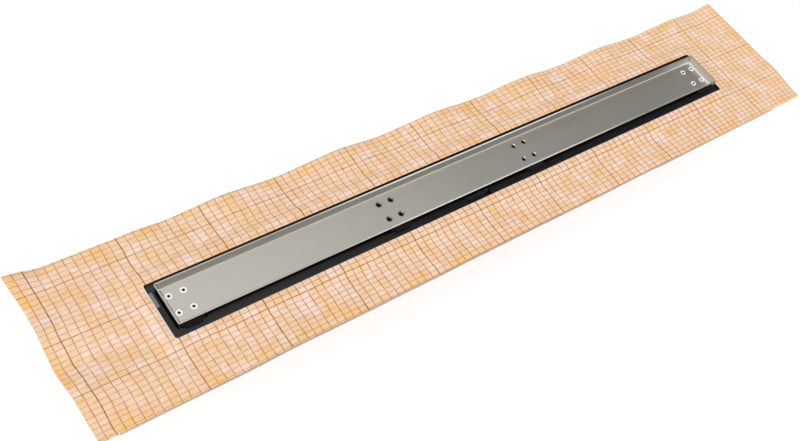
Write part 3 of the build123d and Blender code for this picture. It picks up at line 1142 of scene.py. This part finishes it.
def setting_out_tree() -> ShapeGraph:
    """Tree that sets copies of one fastener out, four to a group and the groups in a row.

    Returns:
        The tree, whose geometry input is one fastener.
    """
    tree = ShapeGraph(
        "setting_out",
        {
            "Groups": "NodeSocketInt",
            "Group span": "NodeSocketFloat",
            "Group shift": "NodeSocketFloat",
            "Pitch along": "NodeSocketFloat",
            "Pitch across": "NodeSocketFloat",
            "Seat height": "NodeSocketFloat",
            "Turn": "NodeSocketFloat",
            "Finish": "NodeSocketMaterial",
        },
    )
    given = tree.given
    half_span = tree.math("MULTIPLY", given["Group span"], 0.5)
    first = tree.math("SUBTRACT", given["Group shift"], half_span)
    last = tree.math("ADD", given["Group shift"], half_span)
    row = tree.add(
        "GeometryNodeMeshLine",
        {"mode": "END_POINTS"},
        count=given["Groups"],
        start_location=tree.vector(x=first, z=given["Seat height"]),
        offset=tree.vector(x=last, z=given["Seat height"]),
    )
    group = tree.add(
        "GeometryNodeMeshGrid",
        size_x=given["Pitch along"],
        size_y=given["Pitch across"],
        vertices_x=GROUP_SIDE,
        vertices_y=GROUP_SIDE,
    )
    seats = tree.add("GeometryNodeInstanceOnPoints", points=row, instance=group)
    seats = tree.add("GeometryNodeRealizeInstances", geometry=seats)
    turn = tree.add(
        "FunctionNodeRandomValue",
        {"data_type": "FLOAT"},
        min=0.0,
        max=given["Turn"],
        seed=TURN_SEED,
    )
    copies = tree.add(
        "GeometryNodeInstanceOnPoints",
        points=seats,
        instance=given["Geometry"],
        rotation=tree.vector(z=turn),
    )
    tree.finish(copies, given["Finish"])
    return tree


def thread_tree() -> ShapeGraph:
    """Tree that makes one threaded rod on the origin: a core with a ridge wound round it.

    Returns:
        The tree, whose geometry input isn't used.
    """
    tree = ShapeGraph(
        "threaded_rod",
        {
            "Radius": "NodeSocketFloat",
            "Thread depth": "NodeSocketFloat",
            "Thread pitch": "NodeSocketFloat",
            "Length": "NodeSocketFloat",
            "Finish": "NodeSocketMaterial",
        },
    )
    given = tree.given
    depth, length = given["Thread depth"], given["Length"]
    core_radius = tree.math("SUBTRACT", given["Radius"], depth)
    core = tree.add(
        "GeometryNodeMeshCylinder", vertices=CORE_SIDES, radius=core_radius, depth=length
    )
    upright = tree.vector(z=tree.math("MULTIPLY", length, 0.5))
    core = tree.add("GeometryNodeTransform", geometry=core, translation=upright)
    run = tree.math("SUBTRACT", length, tree.math("MULTIPLY", depth, 2.0))
    helix = tree.add(
        "GeometryNodeCurveSpiral",
        resolution=HELIX_STEPS,
        rotations=tree.math("DIVIDE", run, given["Thread pitch"]),
        start_radius=core_radius,
        end_radius=core_radius,
        height=run,
    )
    ridge = tree.add(
        "GeometryNodeCurvePrimitiveCircle", {"mode": "RADIUS"}, resolution=RIDGE_SIDES, radius=depth
    )
    wound = tree.add("GeometryNodeCurveToMesh", curve=helix, profile_curve=ridge, fill_caps=True)
    wound = tree.add("GeometryNodeTransform", geometry=wound, translation=tree.vector(z=depth))
    join = tree.nodes.new("GeometryNodeJoinGeometry")
    for part in (wound, core):
        tree.feed(join.inputs[0], part)
    tree.finish(join.outputs[0], given["Finish"])
    return tree


class HeadForm(Enum):
    """Form of a tray screw's head: flat at the ends of the tray, dished in the middle groups."""

    FLAT = "end_tray_screws"
    DISHED = "middle_tray_screws"


@dataclass
class TrayScrews:
    """Countersunk screws with a six-sided socket, in two groups of four."""

    form: HeadForm
    tree: ShapeGraph
    supports: tuple[str, str]
    node: str = "tray_screws"
    head_radius: float = 4.0 * MM
    shank_radius: float = 1.75 * MM
    socket_radius: float = 2.0 * MM
    socket_depth: float = 1.6 * MM
    head_depth: float = 1.2 * MM
    head_land: float = 0.2 * MM
    edge_round: float = 0.12 * MM
    dish_depth: float = 0.9 * MM
    dish_rings: tuple[tuple[float, float], ...] = ((0.62, 0.92), (0.82, 0.55))
    tip_length: float = 0.8 * MM
    tip_share: float = 0.6
    flat_shade_drop: float = 0.1 * MM
    flat_shade_depth: float = 0.2 * MM
    dish_shade_drop: float = 0.7 * MM
    # Run of the painted shade that darkens the dished heads left of the middle.
    stain_run: tuple[float, float] = (0.0, -100.0 * MM)
    pitch_along: float = 18.0 * MM
    pitch_across: float = 23.0 * MM

    def rings(self, length: float) -> list[Ring]:
        """Section of one screw from its socket's floor to its tip, with the head's top at zero.

        Args:
            length: Length of the screw.

        Returns:
            The rings, in order.
        """
        dished = self.form is HeadForm.DISHED
        drop = self.dish_depth if dished else 0.0
        dish = self.dish_rings if dished else ()
        return [
            Ring(self.socket_radius, -drop - self.socket_depth, HEX_SIDES),
            Ring(self.socket_radius, -drop - self.edge_round, HEX_SIDES),
            Ring(self.socket_radius + self.edge_round, -drop, HEX_SIDES),
            *(Ring(self.head_radius * out, -drop * down) for out, down in dish),
            Ring(self.head_radius - self.edge_round, 0.0),
            Ring(self.head_radius, -self.edge_round),
            Ring(self.head_radius, -self.head_land),
            Ring(self.shank_radius, -self.head_depth),
            Ring(self.shank_radius, self.tip_length - length),
            Ring(self.shank_radius * self.tip_share, -length),
        ]

    def finish(self, head_z: float) -> bpy.types.Material:
        """Bright metal for flat heads and dull metal for dished ones, with painted shade that
        blackens the sockets and darkens the dished heads left of the middle.

        Args:
            head_z: Height of the heads' tops.

        Returns:
            The material.
        """
        if self.form is HeadForm.FLAT:
            metal = BareMetal(
                "bright_screw",
                srgb(250, 250, 248),
                srgb(240, 240, 237),
                shine=0.4,
                metallic=0.05,
                shade_top=head_z - self.flat_shade_drop,
                shade_depth=self.flat_shade_depth,
            )
        else:
            metal = BareMetal(
                "dull_screw",
                srgb(164, 161, 153),
                srgb(130, 128, 120),
                shine=0.34,
                shade_top=head_z - self.dish_shade_drop,
                stain_run=self.stain_run,
            )
        return metal.material()

    def middles(self) -> tuple[float, float]:
        """Places of the two groups along the drain, each over the middle of its support.

        Returns:
            The two places.
        """
        boxes = [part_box(support) for support in self.supports]
        first, last = ((low.x + high.x) / 2 for low, high in boxes)
        return first, last

    def build(self) -> list[Piece]:
        """Makes one screw and sets eight of them out.

        Returns:
            The screws, as one piece in a list.
        """
        low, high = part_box(self.node)
        first, last = self.middles()
        mesh = turned_mesh(self.form.value, self.rings(high.z - low.z))
        piece = place_piece(self.form.value, mesh)
        self.tree.apply(
            piece,
            {
                "Groups": len(self.supports),
                "Group span": last - first,
                "Group shift": (first + last) / 2,
                "Pitch along": self.pitch_along,
                "Pitch across": self.pitch_across,
                "Seat height": high.z,
                "Turn": 2 * pi / HEX_SIDES,
                "Finish": self.finish(high.z),
            },
        )
        settle(piece)
        return [declare(piece, self.node)]


@dataclass
class CoverTray:
    """Folded stainless tray and the plastic pieces that carry it in the channel."""

    sheet_thickness: float = 1.2 * MM
    support_count: int = 4
    node: str = "cover_tray"
    support: Moulding = Moulding(
        "support_plastic", srgb(14, 14, 15), srgb(22, 22, 22), shine=0.52, specular=0.24
    )
    spacer: Moulding = Moulding(
        "spacer_plastic", srgb(118, 118, 116), srgb(132, 132, 129), shine=0.45
    )

    def build(self) -> list[Piece]:
        """Dresses the tray, its supports and the end spacers.

        Returns:
            The pieces.
        """
        low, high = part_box(self.node)
        steel = BrushedSteel(low.z + self.sheet_thickness, high.z).material()
        support, spacer = self.support.material(), self.spacer.material()
        pieces = [dress(self.node, steel)]
        for number in range(1, self.support_count + 1):
            pieces.append(dress(f"tray_support_{number}", support))
        for side in ("left", "right"):
            pieces.append(dress(f"end_spacer_{side}", spacer))
        return pieces


@dataclass
class ChannelAndTrap:
    """Moulded channel with the strainer, the trap and the outlet below it."""

    # Run of the painted light that makes the channel lighter towards its left end.
    dust_run: tuple[float, float] = (0.0, -400.0 * MM)
    rubber_grain: float = 0.06 * MM

    def build(self) -> list[Piece]:
        """Dresses the moulded and rubber pieces from the channel down to the outlet.

        Returns:
            The pieces.
        """
        channel = Moulding(
            "channel_plastic",
            srgb(16, 16, 17),
            srgb(24, 24, 24),
            shine=0.5,
            specular=0.24,
            dust_run=self.dust_run,
        )
        dark = Moulding(
            "strainer_plastic", srgb(40, 41, 43), srgb(52, 53, 54), shine=0.48, specular=0.3
        )
        rubber = Moulding(
            "seal_rubber",
            srgb(40, 40, 40),
            srgb(54, 54, 54),
            shine=0.62,
            grain_depth=self.rubber_grain,
        )
        outlet = Moulding("outlet_plastic", srgb(66, 67, 69), srgb(80, 80, 82), shine=0.42)
        nodes = {
            channel: ("channel_body",),
            dark: ("hair_strainer", "trap_insert"),
            rubber: ("insert_seal", "outlet_gasket"),
            Silicone(): ("trap_membrane",),
            outlet: ("outlet_body",),
        }
        pieces = []
        for finish, names in nodes.items():
            material = finish.material()
            pieces += [dress(name, material) for name in names]
        return pieces


@dataclass
class Fixings:
    """Plated bolts of the outlet, and the threaded feet with their nuts and pads."""

    setting_out: ShapeGraph
    bolt_head_height: float = 3.0 * MM
    bolt_head_radius: float = 4.0 * MM
    bolt_shank_radius: float = 2.0 * MM
    bolt_socket_radius: float = 1.8 * MM
    bolt_socket_depth: float = 1.8 * MM
    edge_round: float = 0.4 * MM
    stud_radius: float = 4.0 * MM
    thread_depth: float = 0.6 * MM
    thread_pitch: float = 1.25 * MM
    nut_across_flats: float = 13.0 * MM
    nut_chamfer: float = 0.7 * MM
    nut_bore: float = 4.1 * MM

    def set_out(
        self,
        piece: Piece,
        node: str,
        reach: tuple[float, float],
        seat: float,
        finish: bpy.types.Material,
    ) -> Piece:
        """Sets a fastener out on the four places of its node.

        Args:
            piece: One fastener, standing at the origin.
            node: The CAD node that it stands for.
            reach: The fastener's own largest half width along X and Y.
            seat: Height that the fastener's zero goes to.
            finish: Its material.

        Returns:
            The finished piece.
        """
        _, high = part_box(node)
        self.setting_out.apply(
            piece,
            {
                "Groups": 1,
                "Group span": 0.0,
                "Group shift": 0.0,
                "Pitch along": 2 * (high.x - reach[0]),
                "Pitch across": 2 * (high.y - reach[1]),
                "Seat height": seat,
                "Turn": 0.0,
                "Finish": finish,
            },
        )
        settle(piece)
        return declare(piece, node)

    def bolts(self, finish: bpy.types.Material) -> Piece:
        """Cap screws that hold the outlet body from below.

        Args:
            finish: The fasteners' material.

        Returns:
            The four screws, as one piece.
        """
        low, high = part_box("outlet_screws")
        head = self.bolt_head_height
        rings = [
            Ring(self.bolt_socket_radius, self.bolt_socket_depth, HEX_SIDES),
            Ring(self.bolt_socket_radius, 0.0, HEX_SIDES),
            Ring(self.bolt_head_radius - self.edge_round, 0.0),
            Ring(self.bolt_head_radius, self.edge_round),
            Ring(self.bolt_head_radius, head),
            Ring(self.bolt_shank_radius, head),
            Ring(self.bolt_shank_radius, high.z - low.z),
        ]
        piece = place_piece("outlet_bolts", turned_mesh("outlet_bolts", rings))
        reach = (self.bolt_head_radius, self.bolt_head_radius)
        return self.set_out(piece, "outlet_screws", reach, low.z, finish)

    def nuts(self, finish: bpy.types.Material) -> Piece:
        """Six-sided nuts with chamfered ends and a chamfered bore.

        Args:
            finish: The fasteners' material.

        Returns:
            The four nuts, as one piece.
        """
        low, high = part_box("lock_nuts")
        height = high.z - low.z
        flat = self.nut_across_flats / 2
        corner = flat / cos(pi / HEX_SIDES)
        face = flat - self.edge_round / 2
        lip = self.nut_bore + self.edge_round
        rings = [
            Ring(self.nut_bore, self.edge_round),
            Ring(lip, 0.0),
            Ring(face, 0.0),
            Ring(corner, self.nut_chamfer, HEX_SIDES),
            Ring(corner, height - self.nut_chamfer, HEX_SIDES),
            Ring(face, height),
            Ring(lip, height),
            Ring(self.nut_bore, height - self.edge_round),
        ]
        piece = place_piece("foot_nuts", turned_mesh("foot_nuts", rings, closed=True))
        return self.set_out(piece, "lock_nuts", (corner, flat), low.z, finish)

    def studs(self, finish: bpy.types.Material) -> Piece:
        """Threaded rods between the pads and the channel.

        Args:
            finish: The fasteners' material.

        Returns:
            The four studs, as one piece.
        """
        low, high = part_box("levelling_studs")
        piece = place_piece("foot_studs", bpy.data.meshes.new("foot_studs"))
        thread_tree().apply(
            piece,
            {
                "Radius": self.stud_radius,
                "Thread depth": self.thread_depth,
                "Thread pitch": self.thread_pitch,
                "Length": high.z - low.z,
                "Finish": finish,
            },
        )
        reach = (self.stud_radius, self.stud_radius)
        return self.set_out(piece, "levelling_studs", reach, low.z, finish)

    def build(self) -> list[Piece]:
        """Makes the bolts, nuts and studs and dresses the pads.

        Returns:
            The pieces.
        """
        plated = BareMetal("zinc_steel", srgb(214, 217, 221), srgb(188, 191, 196), shine=0.24)
        pad = Moulding("pad_plastic", srgb(44, 44, 44), srgb(56, 56, 56), shine=0.46)
        zinc = plated.material()
        pads = dress("foot_pads", pad.material())
        return [self.bolts(zinc), self.nuts(zinc), self.studs(zinc), pads]


@dataclass
class Studio:
    """Pale floor, soft light and the camera at the photograph's angle."""

    camera_place: tuple[float, float, float] = (-0.8073, -0.4940, 1.1246)
    camera_target: tuple[float, float, float] = (-0.1363, -0.0187, 0.0893)
    camera_roll: float = radians(23.66)
    lens_mm: float = 49.4
    sensor_mm: float = 36.0
    floor_half: float = 8.0
    floor_glow: float = 0.21
    floor_shade: float = 0.9
    ambient: float = 0.4
    key_power: float = 2.18
    key_spread: float = radians(1.0)
    key_aim: tuple[float, float, float] = (0.5, 0.352, -1.0)
    card_height: float = 1.75
    card_low: tuple[float, float] = (-0.6, -0.6)
    card_high: tuple[float, float] = (4.2, 2.4)
    card_run: tuple[float, float] = (0.32, 1.44)
    card_glow: tuple[float, float] = (0.97, 0.12)
    flag_glow: float = 0.12
    flag_height: float = 0.7
    flag_place: tuple[float, float] = (-1.3, -0.65)
    flag_end: tuple[float, float] = (2.0, 1.2)

    def seen(self, graph: ShaderGraph) -> Socket:
        """1 for rays from the camera, a mirror or a clear piece, and 0 for the others.

        Args:
            graph: Nodes of the floor or the world.

        Returns:
            That number.
        """
        path = graph.nodes.new("ShaderNodeLightPath").outputs
        found = path["Is Camera Ray"]
        for name in ("Is Glossy Ray", "Is Transmission Ray"):
            found = graph.math("MAXIMUM", found, path[name])
        return found

    def panel(self, name: str, corners: list[tuple[float, float, float]]) -> Piece:
        """Flat piece of the stage with four corners.

        Args:
            name: Its name.
            corners: The corners, in order.

        Returns:
            The panel.
        """
        mesh = bpy.data.meshes.new(name)
        mesh.from_pydata(corners, [], [(0, 1, 2, 3)])
        piece = place_piece(name, mesh)
        return piece

    def level_panel(
        self, name: str, low: tuple[float, float], high: tuple[float, float], height: float
    ) -> Piece:
        """Level rectangle of the stage."""
        plan = (low, (high[0], low[1]), high, (low[0], high[1]))
        return self.panel(name, [(x, y, height) for x, y in plan])

    def coat(self, piece: Piece, graph: ShaderGraph, shader: Socket) -> None:
        """Makes a shader the whole look of a panel."""
        graph.feed(graph.nodes["Material Output"].inputs["Surface"], shader)
        piece.data.materials.append(graph.owner)

    def floor(self) -> None:
        """White floor that keeps the drain's shadow."""
        half = self.floor_half
        piece = self.level_panel("floor", (-half, -half), (half, half), 0.0)
        graph = ShaderGraph("floor")
        strength = graph.math("MULTIPLY", self.seen(graph), self.floor_glow)
        both = graph.nodes.new("ShaderNodeAddShader")
        layers = (
            graph.add("ShaderNodeEmission", strength=strength),
            graph.add("ShaderNodeBsdfDiffuse", color=(self.floor_shade,) * 3),
        )
        for socket, layer in zip(both.inputs, layers):
            graph.feed(socket, layer)
        self.coat(piece, graph, both.outputs[0])

    def mirrored_only(self, piece: Piece, graph: ShaderGraph, strength: Socket | float) -> None:
        """Gives a card its glow, and shows it to nothing but the metal.

        Args:
            piece: The card.
            graph: The material's nodes.
            strength: Strength of the glow.
        """
        self.coat(piece, graph, graph.add("ShaderNodeEmission", strength=strength))
        piece.visible_camera = False
        piece.visible_diffuse = False
        piece.visible_shadow = False
        piece.visible_transmission = False

    def cards(self) -> None:
        """Card overhead, darker towards the right, and dark flags on the camera's two sides."""
        piece = self.level_panel("mirror_card", self.card_low, self.card_high, self.card_height)
        graph = ShaderGraph("mirror_card")
        along = graph.split(graph.place())[0]
        self.mirrored_only(piece, graph, graph.ease(along, *self.card_run, *self.card_glow))
        start, top = self.flag_place, self.flag_height
        ends = {
            "near_flag": (self.flag_end[0], start[1]),
            "left_flag": (start[0], self.flag_end[1]),
        }
        for name, end in ends.items():
            flag = self.panel(name, [(*start, 0.0), (*end, 0.0), (*end, top), (*start, top)])
            self.mirrored_only(flag, ShaderGraph(name), self.flag_glow)

    def world(self) -> None:
        """White surroundings for the eye and for mirrors, and a weaker light from all sides."""
        world = bpy.data.worlds.new("studio")
        bpy.context.scene.world = world
        graph = ShaderGraph("studio", world)
        level = graph.math("MULTIPLY_ADD", self.seen(graph), 1.0 - self.ambient, self.ambient)
        graph.fill(graph.nodes["Background"], color=(1.0, 1.0, 1.0), strength=level)

    def key_light(self) -> None:
        """Even light from behind the camera, and steeper, so that the drain hides its shadow."""
        lamp = bpy.data.lights.new("key", "SUN")
        lamp.energy = self.key_power
        lamp.angle = self.key_spread
        piece = place_piece("key", lamp)
        piece.rotation_euler = Vector(self.key_aim).to_track_quat("-Z", "Y").to_euler()

    def camera(self) -> None:
        """Camera fitted to the photograph, rolled so that the drain climbs to the right."""
        data = bpy.data.cameras.new("camera")
        data.lens = self.lens_mm
        data.sensor_width = self.sensor_mm
        data.sensor_fit = "HORIZONTAL"
        piece = place_piece("camera", data)
        ahead = (Vector(self.camera_target) - Vector(self.camera_place)).normalized()
        right = ahead.cross(Vector((0, 0, 1))).normalized()
        up = right.cross(ahead)
        side = cos(self.camera_roll) * right + sin(self.camera_roll) * up
        top = cos(self.camera_roll) * up - sin(self.camera_roll) * right
        turn = Matrix((side, top, -ahead)).transposed()
        piece.matrix_world = Matrix.Translation(self.camera_place) @ turn.to_4x4()
        bpy.context.scene.camera = piece

    def build(self) -> None:
        """Sets up the stage."""
        bpy.context.scene.view_settings.view_transform = "Standard"
        self.floor()
        self.cards()
        self.world()
        self.key_light()
        self.camera()


def main() -> None:
    """Builds and dresses the drain, then sets up the studio."""
    logging.basicConfig(level=logging.INFO, format="%(name)s: %(message)s")
    setting_out = setting_out_tree()
    assemblies = [
        SealingMembrane(),
        CoverTray(),
        TrayScrews(HeadForm.FLAT, setting_out, ("tray_support_1", "tray_support_4")),
        TrayScrews(HeadForm.DISHED, setting_out, ("tray_support_2", "tray_support_3")),
        ChannelAndTrap(),
        Fixings(setting_out),
    ]
    for assembly in assemblies:
        for piece in assembly.build():
            log.info("%s: %s", type(assembly).__name__, piece.name)
    Studio().build()


if __name__ == "__main__":
    main()
